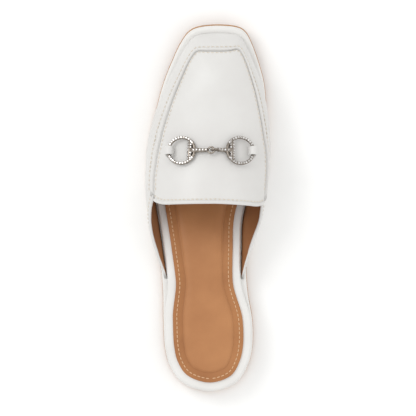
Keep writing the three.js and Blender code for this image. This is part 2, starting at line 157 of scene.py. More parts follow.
# Moccasin seam: its turn from base to ridge on each side, and how square each side is
SEAM = (
    {"at": 0.3, "lateral": 0.42, "medial": 0.3, "square_lateral": 2.3, "square_medial": 2.7},
    {"at": 0.56, "lateral": 0.42, "medial": 0.3, "square_lateral": 2.3, "square_medial": 2.7},
    {"at": 0.7, "lateral": 0.48, "medial": 0.42, "square_lateral": 2.35, "square_medial": 2.65},
    {"at": 0.85, "lateral": 0.495, "medial": 0.465, "square_lateral": 2.4, "square_medial": 2.5},
    {"at": 0.943, "lateral": 0.475, "medial": 0.43, "square_lateral": 2.4, "square_medial": 2.4},
    {"at": 0.98, "lateral": 0.485, "medial": 0.45, "square_lateral": 2.4, "square_medial": 2.4},
    {"at": 1, "lateral": 0.565, "medial": 0.565, "square_lateral": 2.4, "square_medial": 2.4},
)
RIDGE_TURN = RIDGE_WIDTH / INSTEP_HEIGHT
TAB_CORNER = 0.2
SEAM_STEP = 0.012
SWELL_TURN = 0.4

# Flex troughs on each side: station, half-width along the shoe, depth in mm, and height share where deepest
FLEX = {
    "lateral": ((0.66, 0.012, 0.45, 0.55), (0.7, 0.014, 0.35, 0.5), (0.6, 0.016, 0.3, 0.45)),
    "medial": ((0.68, 0.012, 0.4, 0.5), (0.72, 0.013, 0.3, 0.55)),
}
FLEX_LEAN = 0.03
FLEX_HEIGHT = 0.22

# Steps up the turn and along the outline that the upper's directions are taken over, and a depth inside it
TURN_REACH = 0.01
STEP_REACH = 0.04
BIT_REACH = 0.05
FOOT_ROOM = 25

# How finely the forms are drawn, and how far a ring's points crowd together at heel and toe
RING_COUNT = 240
RING_CROWDING = 0.08
SHEET_ROWS = 96

# Rolled edge of the apron: share of the way from the seam to the ridge, and drop in mm
APRON_EDGE = ((0, 0.9), (0.006, 0.45), (0.014, 0.18), (0.026, 0.05), (0.045, 0))
APRON_FLAT_COLUMNS = 15

# Rows of stitches: ridge widths from the seam, or mm in from an edge, and how deep the thread sinks
SEAM_ROW = 1.5
SIDE_ROW = -2.3
EDGE_ROW = 3.2
INSOLE_ROW = 2.8
THREAD_SINK = 0.1

# One stitch: places along it as shares of its length, with its thickness there, and its arch in threads
STITCH_SHAPE = ((-0.5, 0.5), (-0.38, 0.9), (-0.15, 1), (0.15, 1), (0.38, 0.9), (0.5, 0.5))
STITCH_LIFT = 0.35
STITCH_ARCH = 2.6

# The bit's post along its bar and half the post's length, and the distance between stones in radii
POST_AT = RING_RADIUS * POST_PLACE
HALF_POST = math.sqrt(RING_RADIUS**2 - POST_AT**2)
STONE_PITCH = 2.3


# Helpers for tables and curves

def mix(a, b, share):
    """Value between a and b."""
    return a + (b - a) * share


def smoothstep(value, low, high):
    """Soft rise from 0 at low to 1 at high."""
    share = min(max((value - low) / (high - low), 0), 1)
    return share * share * (3 - 2 * share)


def look_up(rows, column, at):
    """Smooth value of one column of a table at a station."""
    last = len(rows) - 1
    place = min(max(at, rows[0]["at"]), rows[last]["at"])
    i = max(next(j for j, row in enumerate(rows) if row["at"] >= place), 1)

    def slope(j):
        before, after = rows[max(j - 1, 0)], rows[min(j + 1, last)]
        return (after[column] - before[column]) / (after["at"] - before["at"])

    span = rows[i]["at"] - rows[i - 1]["at"]
    t = (place - rows[i - 1]["at"]) / span
    rise = (3 - 2 * t) * t * t
    bend = (t**3 - 2 * t * t + t) * slope(i - 1) + (t**3 - t * t) * slope(i)
    return mix(rows[i - 1][column], rows[i][column], rise) + span * bend


# Outline of the sole, and the heights and surfaces that stand on it

OUTLINE_POINTS = (
    [Vector((HEEL_TIP * BALL_WIDTH, 0))]
    + [Vector((-row["lateral"] * row["of"], row["at"] * LENGTH)) for row in OUTLINE]
    + [Vector((TOE_TIP * BALL_WIDTH, LENGTH))]
    + [Vector((row["medial"] * row["of"], row["at"] * LENGTH)) for row in reversed(OUTLINE)]
)
TOE_STEP = len(OUTLINE) + 1
STEPS = 2 * TOE_STEP


def outline_point(step):
    """Point of the closed outline, a centripetal spline through its rows."""
    step %= STEPS
    i = int(step)
    weight = step - i
    corner = [OUTLINE_POINTS[(i + j) % STEPS] for j in (-1, 0, 1, 2)]
    d0, d1, d2 = (math.sqrt((corner[j + 1] - corner[j]).length) for j in (0, 1, 2))
    near = (corner[1] - corner[0]) / d0 - (corner[2] - corner[0]) / (d0 + d1) + (corner[2] - corner[1]) / d1
    far = (corner[2] - corner[1]) / d1 - (corner[3] - corner[1]) / (d1 + d2) + (corner[3] - corner[2]) / d2
    near *= d1
    far *= d1
    square = -3 * corner[1] + 3 * corner[2] - 2 * near - far
    cube = 2 * corner[1] - 2 * corner[2] + near + far
    return corner[1] + near * weight + square * weight**2 + cube * weight**3


def plan_point(side, step, inset):
    """Point of the outline on one side, moved inwards."""
    place = step if side == "lateral" else STEPS - step
    reach = STEPS * 1e-4
    along = (outline_point(place + reach) - outline_point(place - reach)).normalized()
    return outline_point(place) + inset * Vector((along.y, -along.x))


def step_at(at):
    """Step of the outline at a station of the shoe."""
    stations = [0] + [row["at"] for row in OUTLINE] + [1]
    i = max(next(j for j, station in enumerate(stations) if station >= at), 1)
    return i - 1 + (at - stations[i - 1]) / (stations[i] - stations[i - 1])


def ground(y):
    """Height of the sole's ground side above the floor."""
    at = y / LENGTH
    spring = max(at - SPRING_START, 0) / (1 - SPRING_START)
    arch = min(max((at - ARCH_FROM) / (ARCH_TO - ARCH_FROM), 0), 1)
    return TOE_SPRING * spring**2 + ARCH_RISE * math.sin(math.pi * arch) ** 2


def stand(x, y, height):
    """Stands a point of the flat last at a height square to the bent sole."""
    reach = LENGTH / 1000
    angle = math.atan2(ground(y + reach) - ground(y - reach), 2 * reach)
    return Vector((x, y - height * math.sin(angle), ground(y) + height * math.cos(angle)))


def wedge_top(y):
    """Height of the wedge's top above the ground side."""
    share = 1 - smoothstep(y / LENGTH, HEEL_SEAT_END, BALL)
    return OUTSOLE_THICKNESS + mix(WEDGE_AT_BALL, WEDGE_AT_HEEL, share)


def footbed_top(y):
    """Height of the footbed's rim above the ground side."""
    return wedge_top(y) + GAP + FOOTBED_THICKNESS


def toe_ledge(y):
    """How much further in the upper's base lies round the toe, where the sole shows as a ledge."""
    return TOE_LEDGE * smoothstep(y / LENGTH, BALL, 1)


def footbed_inset(y):
    """How far inside the outline the footbed lies."""
    in_upper = UPPER_LEDGE + UPPER_WALL + 4 * GAP
    return mix(WEDGE_FLARE, in_upper, smoothstep(y / LENGTH, HEEL_SEAT_END, QUARTER_END)) + toe_ledge(y)


def crown_slope(at):
    """Fall of the vamp's ridge along the shoe."""
    reach = 0.01
    rise = look_up(CROWN, "up", at + reach) - look_up(CROWN, "up", at - reach)
    return rise * INSTEP_HEIGHT / (2 * reach * LENGTH)


def crease(at, up, side):
    """Soft flex troughs across the ball of the foot, deepest low on the wall."""
    depth = 0
    for station, width, deep, deepest in FLEX[side]:
        along = (at - station - FLEX_LEAN * up) / width
        high = (up - deepest) / FLEX_HEIGHT
        depth += deep * math.exp(-(along**2)) * math.exp(-(high**2))
    return depth


def vamp(side, step, turn, creased=0):
    """Outer surface of the upper: a superellipse from base to ridge, fanned round the toe."""
    ledge = WEDGE_FLARE + UPPER_LEDGE - FEATHER_INSET + toe_ledge(plan_point(side, step, 0).y)
    base = plan_point(side, step, ledge)
    out = plan_point(side, step, 0) - plan_point(side, step, 1)
    at = base.y / LENGTH
    lag = TOE_LAG * max(at - SPRING_START, 0) ** 2
    ridge_at = at - lag
    square = look_up(SEAM, "square_" + side, 1 if step > TOE_STEP - 1 else at)
    angle = min(turn, 1) * math.pi / 2
    inward = 1 - max(math.cos(angle), 0) ** (2 / square)
    up = math.sin(angle) ** (2 / square)
    bulge = UPPER_BULGE * (1 - BULGE_FADE * smoothstep(at, BALL, 1)) * math.sin(math.pi * min(up, 1))
    bulge -= creased * crease(at, up, side)
    low = wedge_top(base.y) + 2 * GAP
    ridge = Vector((look_up(CROWN, "over", ridge_at) * BALL_WIDTH, ridge_at * LENGTH))
    crown = look_up(CROWN, "up", ridge_at) * INSTEP_HEIGHT
    swell = look_up(SWELL, side, at) * BALL_WIDTH * (1 - inward) * smoothstep(up, 0, SWELL_TURN)
    plan = base.lerp(ridge, inward) + (bulge + swell) * out
    fall = (plan.y - ridge.y) * crown_slope(ridge_at) * up
    return stand(plan.x, plan.y, mix(low, crown, up) + fall)


def outward(side, step, turn):
    """Direction out of the vamp's surface."""
    turn = min(turn, 1)
    spot = vamp(side, step, turn)
    ahead = min(step + STEP_REACH / 2, TOE_STEP)
    across = spot - vamp(side, step, turn - TURN_REACH)
    along = vamp(side, ahead, turn) - vamp(side, ahead - STEP_REACH, turn)
    out = across.cross(along).normalized()
    inside = vamp(side, step, 1) - Vector((0, 0, FOOT_ROOM))
    return -out if out.dot(spot - inside) < 0 else out


def seam_turn(side, step):
    """Turn of the moccasin seam at a step of the outline."""
    at = 1 if step >= TOE_STEP else min(plan_point(side, step, 0).y / LENGTH, 1)
    return look_up(SEAM, side, at)


def back_at(turn, seam):
    """Station of the upper's back edge at each turn: the quarter's line, then the rounded tab."""
    if turn < seam:
        return mix(QUARTER_END, THROAT_CORNER, (turn / seam) ** 0.8)
    across = min((turn - seam) / TAB_CORNER, 1)
    return mix(THROAT_CORNER, TAB_END, math.sqrt(1 - (1 - across) ** 2))


def towards_middle(point, distance):
    """Moves a point of the plan towards the sole's middle line, at toe and heel towards the line's end."""
    y = min(max(point.y, MIDDLE_FROM * LENGTH), MIDDLE_TO * LENGTH)
    step = step_at(y / LENGTH)
    middle = Vector(((plan_point("lateral", step, 0).x + plan_point("medial", step, 0).x) / 2, y))
    return point.lerp(middle, distance / (point - middle).length)


def value_at(size, y):
    """A size at a place along the shoe, given as a number or as a function of the place."""
    return size(y) if callable(size) else size


def above(base, height):
    """A size added to another one that changes along the shoe."""
    return lambda y: base(y) + height


def ring_points(inset, height, count, inwards=0):
    """Closed ring round the outline at an inset and a height, each a number or a function of the place."""
    points = []
    half = count // 2
    for i in range(count):
        side = "lateral" if i <= half else "medial"
        share = (i if i <= half else count - i) / half
        step = TOE_STEP * (share - RING_CROWDING * math.sin(2 * math.pi * share))
        edge = plan_point(side, step, 0)
        inner = towards_middle(plan_point(side, step, value_at(inset, edge.y)), inwards)
        points.append(stand(inner.x, inner.y, value_at(height, inner.y)))
    return points


def find_shift():
    """Move from the last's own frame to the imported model's, found from the outsole."""
    rim = ring_points(0, OUTSOLE_THICKNESS - GAP, 72)
    low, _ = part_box("outsole")
    return Vector((low[0] * 1000 - min(p.x for p in rim), low[1] * 1000 - min(p.y for p in rim), 0))


SHIFT = find_shift()


def place(point):
    """Point of the last in metres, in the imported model's frame."""
    return (point + SHIFT) * 0.001


# Meshes

def make_object(name, points, faces, materials, face_slots=None, smooth=True):
    """Mesh object from the points in metres that its faces use, with its materials."""
    used = sorted({i for face in faces for i in face})
    order = {i: new for new, i in enumerate(used)}
    mesh = bpy.data.meshes.new(name)
    mesh.from_pydata([tuple(points[i]) for i in used], [], [[order[i] for i in face] for face in faces])
    for material in materials:
        mesh.materials.append(material)
    if face_slots:
        mesh.polygons.foreach_set("material_index", face_slots)
    mesh.polygons.foreach_set("use_smooth", [smooth] * len(mesh.polygons))
    mesh.update()
    made = bpy.data.objects.new(name, mesh)
    bpy.context.scene.collection.objects.link(made)
    return made


def stack(name, levels, materials, second_from=math.inf):
    """Closed solid from rings of the outline, with the second material from one ring upwards."""
    points = []
    for inset, height, *inwards in levels:
        points += [place(p) for p in ring_points(inset, height, RING_COUNT, *inwards)]
    faces, slots = [], []
    for ring in range(len(levels) - 1):
        for i in range(RING_COUNT):
            a, b = ring * RING_COUNT + i, ring * RING_COUNT + (i + 1) % RING_COUNT
            faces.append((a, a + RING_COUNT, b + RING_COUNT, b))
            slots.append(int(ring >= second_from))
    top = (len(levels) - 1) * RING_COUNT
    for i in range(RING_COUNT // 2):
        c, d = (RING_COUNT - i) % RING_COUNT, RING_COUNT - i - 1
        faces.append(tuple(dict.fromkeys([i, i + 1, d, c])))
        faces.append(tuple(top + j for j in dict.fromkeys([c, d, i + 1, i])))
        slots += [0, int(second_from < math.inf)]
    return make_object(name, points, faces, materials, slots)


def sheet(columns, rows, back_shift=0, creased=0):
    """Grid of the upper's surface: points, faces and how far each point is raised."""
    last = len(columns) - 1
    points, raised, faces = [], [], []
    block = (rows + 1) * (last + 1)

    def index(side, i, j):
        own = side == "medial" and j != last and i != rows
        return (block if own else 0) + i * (last + 1) + j

    for side in SIDES:
        seam_back = seam_turn(side, step_at(THROAT_CORNER))
        for i in range(rows + 1):
            for turn_of, lift in columns:
                back = step_at(back_at(turn_of(seam_back), seam_back) - back_shift)
                step = mix(back, TOE_STEP, i / rows)
                turn = turn_of(seam_turn(side, step))
                points.append(vamp(side, step, turn, creased))
                raised.append(lift)
    for side in SIDES:
        for i in range(rows):
            for j in range(last):
                corners = ((i, j), (i, j + 1), (i + 1, j + 1), (i + 1, j))
                quad = [index(side, *corner) for corner in corners]
                faces.append(tuple(quad if side == "lateral" else quad[::-1]))
    return points, faces, raised


def thicken(name, parts, over, under, materials):
    """Closed solid between two offsets of a sheet: skin in the first material, inside in the second."""
    points, faces, raised = parts
    base = np.array([tuple(p) for p in points])
    normals = np.zeros_like(base)
    for face in faces:
        a, b, c, d = (base[i] for i in face)
        normals[list(face)] += np.cross(c - a, d - b)
    lengths = np.linalg.norm(normals, axis=1, keepdims=True)
    normals /= np.where(lengths > 0, lengths, 1)
    outer = base + normals * (over + np.array(raised))[:, None]
    inner = base - normals * under
    count = len(base)
    edges = {}
    for face in faces:
        for a, b in zip(face, face[1:] + face[:1]):
            if (b, a) in edges:
                del edges[(b, a)]
            else:
                edges[(a, b)] = None
    walls = [(a, a + count, b + count, b) for a, b in edges]
    inside = [tuple(i + count for i in reversed(face)) for face in faces]
    slots = [0] * len(faces) + [1] * len(inside) + [0] * len(walls)
    everything = [place(Vector(p)) for p in np.vstack([outer, inner])]
    return make_object(name, everything, faces + inside + walls, materials, slots)


def loft(rings, closed=False):
    """Points and faces of a skin over rings of equal count, capped unless it closes on itself."""
    size, count = len(rings[0]), len(rings)
    faces = []
    for i in range(count if closed else count - 1):
        for j in range(size):
            a, b = i * size + j, i * size + (j + 1) % size
            c, d = (i + 1) % count * size + j, (i + 1) % count * size + (j + 1) % size
            faces.append((a, b, d, c))
    if not closed:
        faces.append(tuple(reversed(range(size))))
        faces.append(tuple(range((count - 1) * size, count * size)))
    return [point for ring in rings for point in ring], faces


def tube(points, radius, sides, closed=False):
    """Points and faces of a round tube along a path, its radius a number or one for each point."""
    count = len(points)
    radii = [radius] * count if isinstance(radius, (int, float)) else radius
    rings = []
    side_way = None
    for i, point in enumerate(points):
        before = points[i - 1] if closed or i else points[0]
        after = points[(i + 1) % count] if closed or i < count - 1 else points[-1]
        along = (after - before).normalized()
        if side_way is None:
            side_way = along.orthogonal().normalized()
        side_way = (side_way - along * side_way.dot(along)).normalized()
        up_way = along.cross(side_way)
        angles = [2 * math.pi * j / sides for j in range(sides)]
        rings.append([point + radii[i] * (math.cos(a) * side_way + math.sin(a) * up_way) for a in angles])
    return loft(rings, closed)


def join_parts(parts):
    """One list of points and faces from several."""
    points, faces = [], []
    for verts, polygons in parts:
        start = len(points)
        points += list(verts)
        faces += [tuple(i + start for i in face) for face in polygons]
    return points, faces


# Threads, and the paths over the upper

def stitches(path, length, spacing, thickness):
    """Joined short threads along a path of (point, outward direction) in metres."""
    points = [p for p, _ in path]
    steps = [0]
    for a, b in zip(points, points[1:]):
        steps.append(steps[-1] + (b - a).length)
    parts = []
    count = int(steps[-1] / spacing)
    for k in range(count):
        spots = []
        for share, _ in STITCH_SHAPE:
            reach = (k + 0.5) * spacing + share * length
            i = int(np.searchsorted(steps, reach, side="right")) - 1
            i = min(max(i, 0), len(points) - 2)
            part = (reach - steps[i]) / (steps[i + 1] - steps[i])
            lift = thickness * (STITCH_LIFT - STITCH_ARCH * share * share)
            spots.append(points[i].lerp(points[i + 1], part) + lift * path[i][1])
        parts.append(tube(spots, [thickness / 2 * thick for _, thick in STITCH_SHAPE], 6))
    return join_parts(parts)


def surface_path(side, pairs, lift):
    """Path over the vamp from (step, turn) pairs, lifted off the surface, with its outward directions."""
    path = []
    for step, turn in pairs:
        out = outward(side, step, turn)
        path.append((place(vamp(side, step, turn) + lift * out), out))
    return path


def both_sides(path_of):
    """A path up the lateral side and back down the medial side, joined at the middle."""
    lateral = path_of("lateral")
    medial = path_of("medial")
    return lateral + medial[::-1][1:]


def seam_path(ridges, lift):
    """Path beside the moccasin seam, a number of ridge widths up from it."""
    count = 70

    def one_side(side):
        pairs = []
        for i in range(count + 1):
            step = mix(step_at(THROAT_CORNER), TOE_STEP, i / count)
            pairs.append((step, seam_turn(side, step) + ridges * RIDGE_TURN))
        return surface_path(side, pairs, lift)
    return both_sides(one_side)


def tab_path(inset, lift):
    """Path along the throat tab's back edge, in from the edge."""
    count = 30

    def one_side(side):
        seam = seam_turn(side, step_at(THROAT_CORNER))
        pairs = []
        for i in range(count + 1):
            turn = mix(seam + RIDGE_TURN, 1, (i / count) ** 1.4)
            pairs.append((step_at(back_at(turn, seam) - TAB_OVERHANG + inset / LENGTH), turn))
        return surface_path(side, pairs, lift)
    return both_sides(one_side)


def quarter_path(side, inset, lift, count=36):
    """Path along a quarter's top edge, from the sole up to the throat corner."""
    seam = seam_turn(side, step_at(THROAT_CORNER))
    first, last = 0.03, seam - 0.6 * RIDGE_TURN
    pairs = []
    for i in range(count + 1):
        turn = mix(first, last, i / count)
        pairs.append((step_at(back_at(turn, seam) + inset / LENGTH), turn))
    return surface_path(side, pairs, lift)


def bit_frame(side):
    """Matrix of one half of the bit in metres, and how far its ring's centre is from the link."""
    step = step_at(BIT_STATION)

    def over(turn, lift):
        point = vamp(side, step, turn)
        across = point - vamp(side, step, turn - TURN_REACH)
        along = vamp(side, step + BIT_REACH, turn) - vamp(side, step - BIT_REACH, turn)
        out = across.cross(along).normalized()
        if out.z < 0:
            out.negate()
        return point + (GAP + APRON_THICKNESS + lift) * out, out

    ring, out = over(RING_TURN[side], BIT_LIFT + WIRE / 2)
    middle, _ = over(1, BIT_LIFT + WIRE / 2 + LINK_LIFT)
    inwards = middle - ring
    reach = inwards.length
    inwards.normalize()
    out = (out - out.dot(inwards) * inwards).normalized()
    columns = (inwards, out.cross(inwards), out, place(ring))
    rows = [[column[row] for column in columns] for row in range(3)]
    return Matrix(rows + [[0, 0, 0, 1]]), reach


def in_frame(matrix, parts):
    """Parts given in the bit's own millimetres, moved to the shoe in metres."""
    points, faces = join_parts(parts)
    return [matrix @ (Vector(p) * 0.001) for p in points], faces


# Materials: tools that every finish shares

def linear(hex_code):
    """Linear colour from an sRGB hex code."""
    parts = [int(hex_code[i:i + 2], 16) / 255 for i in (1, 3, 5)]
    return tuple(c / 12.92 if c <= 0.04045 else ((c + 0.055) / 1.055) ** 2.4 for c in parts) + (1,)


def per_mm(size):
    """Texture scale, in repeats a metre, for a pattern of that size in millimetres."""
    return 1000 / size


def add_node(tree, kind, values=None, links=None, settings=None):
    """Adds a node with its settings, its socket values and the links into it."""
    node = tree.nodes.new(kind)
    for key, value in (settings or {}).items():
        setattr(node, key, value)
    for key, value in (values or {}).items():
        node.inputs[key].default_value = value
    for key, socket in (links or {}).items():
        tree.links.new(socket, node.inputs[key])
    return node


def new_material(name, roughness, ior=1.5, metallic=0):
    """Material with its shader, and the object's own place for patterns."""
    material = bpy.data.materials.new(name)
    material.use_nodes = True
    tree = material.node_tree
    shader = tree.nodes["Principled BSDF"]
    shader.inputs["Roughness"].default_value = roughness
    shader.inputs["Metallic"].default_value = metallic
    if not metallic:
        shader.inputs["IOR"].default_value = ior
    where = add_node(tree, "ShaderNodeTexCoord").outputs["Object"]
    return material, tree, shader, {"Vector": where}


def paint(tree, shader, pattern, shade, light):
    """Colours the surface between two hex codes by a pattern."""
    ramp = add_node(tree, "ShaderNodeValToRGB", links={"Fac": pattern})
    for element, position, colour in zip(ramp.color_ramp.elements, (0.3, 0.7), (shade, light)):
        element.position = position
        element.color = linear(colour)
    tree.links.new(ramp.outputs["Color"], shader.inputs["Base Color"])


def polish(tree, shader, pattern, low, high):
    """Makes the surface duller and brighter by a pattern."""
    span = add_node(tree, "ShaderNodeMapRange", {"To Min": low, "To Max": high}, {"Value": pattern})
    tree.links.new(span.outputs["Result"], shader.inputs["Roughness"])


def emboss(tree, shader, *layers):
    """Raises the surface by patterns laid over each other, each with a strength and a depth in metres."""
    under = {}
    for pattern, strength, depth in layers:
        bump = add_node(tree, "ShaderNodeBump", {"Strength": strength, "Distance": depth},
                        {"Height": pattern, **under})
        under = {"Normal": bump.outputs["Normal"]}
    tree.links.new(under["Normal"], shader.inputs["Normal"])


# Materials: one function for each kind of finish

def leather(name, light, shade, roughness, grain_mm, grain_depth):
    """Finished leather: pebbled grain, slow clouding of the finish, and rubbed patches that shine more."""
    material, tree, shader, where = new_material(name, roughness)
    cloud = add_node(tree, "ShaderNodeTexNoise", {"Scale": per_mm(28), "Detail": 4}, where).outputs["Fac"]
    wrinkle = add_node(tree, "ShaderNodeTexNoise", {"Scale": per_mm(9), "Detail": 2}, where).outputs["Fac"]
    # Real grain is about 0.4 mm across and its pores 0.1 mm. Both are drawn coarser, so that they show.
    grain = add_node(tree, "ShaderNodeTexVoronoi", {"Scale": per_mm(grain_mm)}, where,
                     {"feature": "DISTANCE_TO_EDGE"}).outputs["Distance"]
    pores = add_node(tree, "ShaderNodeTexNoise", {"Scale": per_mm(0.5), "Detail": 5}, where).outputs["Fac"]
    paint(tree, shader, cloud, shade, light)
    polish(tree, shader, cloud, roughness + 0.07, roughness - 0.06)
    emboss(tree, shader, (wrinkle, 0.5, 0.00012), (grain, 0.6, grain_depth), (pores, 0.4, grain_depth * 0.6))
    return material


def rubber(name, light, shade):
    """Moulded thermoplastic rubber: dull, faintly speckled, with a soft moulded bloom."""
    material, tree, shader, where = new_material(name, 0.62, 1.52)
    # The mould's grit is finer than 0.5 mm, and is drawn at 1.5 mm so that it shows on the sole's edge
    speckle = add_node(tree, "ShaderNodeTexNoise", {"Scale": per_mm(1.5), "Detail": 6}, where).outputs["Fac"]
    paint(tree, shader, speckle, shade, light)
    emboss(tree, shader, (speckle, 0.5, 0.0001))
    return material


def thread(name, light, shade):
    """Bonded polyester thread: tight twist that catches the light in short bands."""
    material, tree, shader, where = new_material(name, 0.5, 1.53)
    # The wave repeats several times in its unit, so its bands lie some 0.2 mm apart, as real twist does
    twist = add_node(tree, "ShaderNodeTexWave", {"Scale": per_mm(0.45), "Distortion": 1.5}, where,
                     {"bands_direction": "DIAGONAL"}).outputs["Fac"]
    paint(tree, shader, twist, shade, light)
    emboss(tree, shader, (twist, 0.5, 0.00006))
    return material


def nickel(name, light, shade):
    """Nickel-plated zinc casting: bright, with a little handling haze in its reflections."""
    material, tree, shader, where = new_material(name, 0.2, metallic=1)
    haze = add_node(tree, "ShaderNodeTexNoise", {"Scale": per_mm(2.2), "Detail": 5}, where).outputs["Fac"]
    paint(tree, shader, haze, shade, light)
    polish(tree, shader, haze, 0.12, 0.3)
    emboss(tree, shader, (haze, 0.25, 0.00005))
    return material


def crystal(name, light, shade):
    """Foil-backed glass stones: flat facets that flash from white to grey."""
    material, tree, shader, where = new_material(name, 0.04, metallic=0.85)
    fire = add_node(tree, "ShaderNodeTexNoise", {"Scale": per_mm(1.1), "Detail": 1}, where).outputs["Fac"]
    paint(tree, shader, fire, shade, light)
    return material


def paper(name, light, shade):
    """Matt white studio paper."""
    material, tree, shader, where = new_material(name, 0.9)
    fibre = add_node(tree, "ShaderNodeTexNoise", {"Scale": per_mm(60), "Detail": 3}, where).outputs["Fac"]
    paint(tree, shader, fibre, shade, light)
    return material


class MuleSizes(bpy.types.PropertyGroup):
    """Sizes of the details."""

    stitch_length: FloatProperty(name="Stitch length", description="Length of one stitch", default=0.0023,
                                 unit="LENGTH")
    stitch_spacing: FloatProperty(name="Stitch spacing", description="From one stitch to the next",
                                  default=0.0031, unit="LENGTH")
    thread_width: FloatProperty(name="Thread width", description="Thickness of the thread", default=0.0007,
                                unit="LENGTH")
    piping_radius: FloatProperty(name="Piping radius", description="Radius of the rolled top edge",
                                 default=0.0011, unit="LENGTH")
    stone_radius: FloatProperty(name="Stone radius", description="Radius of a stone on the bit",
                                default=0.0008, unit="LENGTH")


class MuleColours(bpy.types.PropertyGroup):
    """Colours of the stage."""

    backdrop: FloatVectorProperty(name="Backdrop", description="Colour of the light round the shoe", size=3,
                                  default=(1.0, 1.0, 1.0), subtype="COLOR")


# Colours of the finishes: light, then shade
WHITE_LEATHER = ("#D8D7D4", "#D2D0CD")
WRAP_LEATHER = ("#E4E3E0", "#DCDAD6")
TAN_LEATHER = ("#B57C4C", "#A66E41")
# The sock's rim band is painted darker: painted shade of the low band round the padding
SHADED_RIM_LEATHER = ("#AD7443", "#9B6438")
LINING_TAN = ("#A06A3F", "#8E5B34")
SOLE_TAN = ("#B98A5C", "#A5784C")
WHITE_THREAD = ("#E6DFD3", "#C9BDAB")
TAN_THREAD = ("#E2BE98", "#CFA67C")
NICKEL = ("#A39B92", "#756C63")
STONE_GLASS = ("#FFFFFF", "#8C847C")
PAPER_WHITE = ("#FBFBFA", "#F6F6F5")


def shared(name, maker, *colours, **sizes):
    """Material made once and shared."""
    return bpy.data.materials.get(name) or maker(name, *colours, **sizes)


def white_leather():
    """Smooth off-white calf leather, pigment finished: even and satin, with fine grain."""
    return shared("smooth white leather", leather, *WHITE_LEATHER,
                  roughness=0.42, grain_mm=1.1, grain_depth=0.00006)


def wrap_leather():
    """The same leather stretched round the sole, where its grain is flatter."""
    return shared("white wrap leather", leather, *WRAP_LEATHER,
                  roughness=0.46, grain_mm=1.3, grain_depth=0.00005)


def tan_leather():
    """Vegetable-tanned sock leather: open grain and slow clouds of colour."""
    return shared("tan sock leather", leather, *TAN_LEATHER,
                  roughness=0.55, grain_mm=0.8, grain_depth=0.00009)


def shaded_rim_leather():
    """The same leather pressed down round the sock's padding, with its grain raised; its darker colour is
    painted shade of that low band.
    """
    return shared("tan sock leather with painted shade", leather, *SHADED_RIM_LEATHER,
                  roughness=0.6, grain_mm=1.4, grain_depth=0.0002)


def tan_lining():
    """Unfinished pigskin lining, darker and duller than the sock."""
    return shared("tan lining leather", leather, *LINING_TAN,
                  roughness=0.68, grain_mm=1, grain_depth=0.0001)


# Pieces, and the operators that make them

def finish_piece(piece, body, slot, *nodes):
    """Seats a piece on its body and hides the imported parts that it stands for."""
    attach(piece, body)
    if nodes:
        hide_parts(*nodes)
    return piece


def upper_columns():
    """Columns of the upper from base to ridge, with the raised seam as a rounded step."""
    wall, bead, top = 18, 5, 14
    columns = []
    for i in range(wall):
        columns.append((lambda seam, s=i / wall: s * (seam - RIDGE_TURN), 0))
    for i in range(2 * bead + 1):
        across = i / bead - 1
        lift = RIDGE_HEIGHT * math.cos(across * math.pi / 2) ** 0.8 if abs(across) < 1 else 0
        columns.append((lambda seam, a=across: seam + RIDGE_TURN * (0.75 * a - 0.25), lift))
    for i in range(1, top + 1):
        columns.append((lambda seam, s=i / top: mix(seam + RIDGE_TURN / 2, 1, s), 0))
    return columns


def apron_columns():
    """Columns of the apron, its edge rolled down to the seam."""
    edge_end = APRON_EDGE[-1][0]
    flat = [(mix(edge_end, 1, i / APRON_FLAT_COLUMNS), 0) for i in range(1, APRON_FLAT_COLUMNS + 1)]
    columns = []
    for share, drop in APRON_EDGE + tuple(flat):
        columns.append((lambda seam, s=share: mix(seam + RIDGE_TURN / 2 + SEAM_STEP, 1, s), -drop))
    return columns


class MULE_OT_upper(bpy.types.Operator):
    """Makes the hollow upper with its tan lining"""

    bl_idname = "mule.upper"
    bl_label = "Upper"

    def execute(self, context):
        """Builds the shell and its rolled top edges."""
        parts = sheet(upper_columns(), SHEET_ROWS, creased=1)
        shell = thicken("upper_shell", parts, 0, UPPER_WALL, [white_leather(), tan_lining()])
        finish_piece(shell, "shoe", "upper_leather", "upper")
        radius = context.scene.mule_sizes.piping_radius
        thin_end, taper = 0.35, 12
        edges = []
        for side in SIDES:
            path = [p for p, _ in quarter_path(side, 0.2, -UPPER_WALL / 2, 60)]
            radii = [radius * mix(thin_end, 1, smoothstep(i, 0, taper)) for i in range(len(path))]
            edges.append(tube(path, radii, 12))
        points, faces = join_parts(edges)
        piping = make_object("quarter_piping", points, faces, [white_leather()])
        finish_piece(piping, "shoe", "upper_leather")
        return {"FINISHED"}


class MULE_OT_apron(bpy.types.Operator):
    """Makes the apron with its rolled throat edge"""

    bl_idname = "mule.apron"
    bl_label = "Apron"

    def execute(self, context):
        """Builds the panel over the vamp and the roll along its tab."""
        parts = sheet(apron_columns(), SHEET_ROWS, TAB_OVERHANG)
        panel = thicken("apron_panel", parts, GAP + APRON_THICKNESS, -GAP, [white_leather(), tan_lining()])
        finish_piece(panel, "shoe", "upper_leather", "apron")
        path = [p for p, _ in tab_path(0.1, GAP + APRON_THICKNESS * 0.75)]
        points, faces = tube(path, context.scene.mule_sizes.piping_radius * 1.15, 12)
        roll = make_object("throat_roll", points, faces, [white_leather()])
        finish_piece(roll, "shoe", "upper_leather")
        return {"FINISHED"}


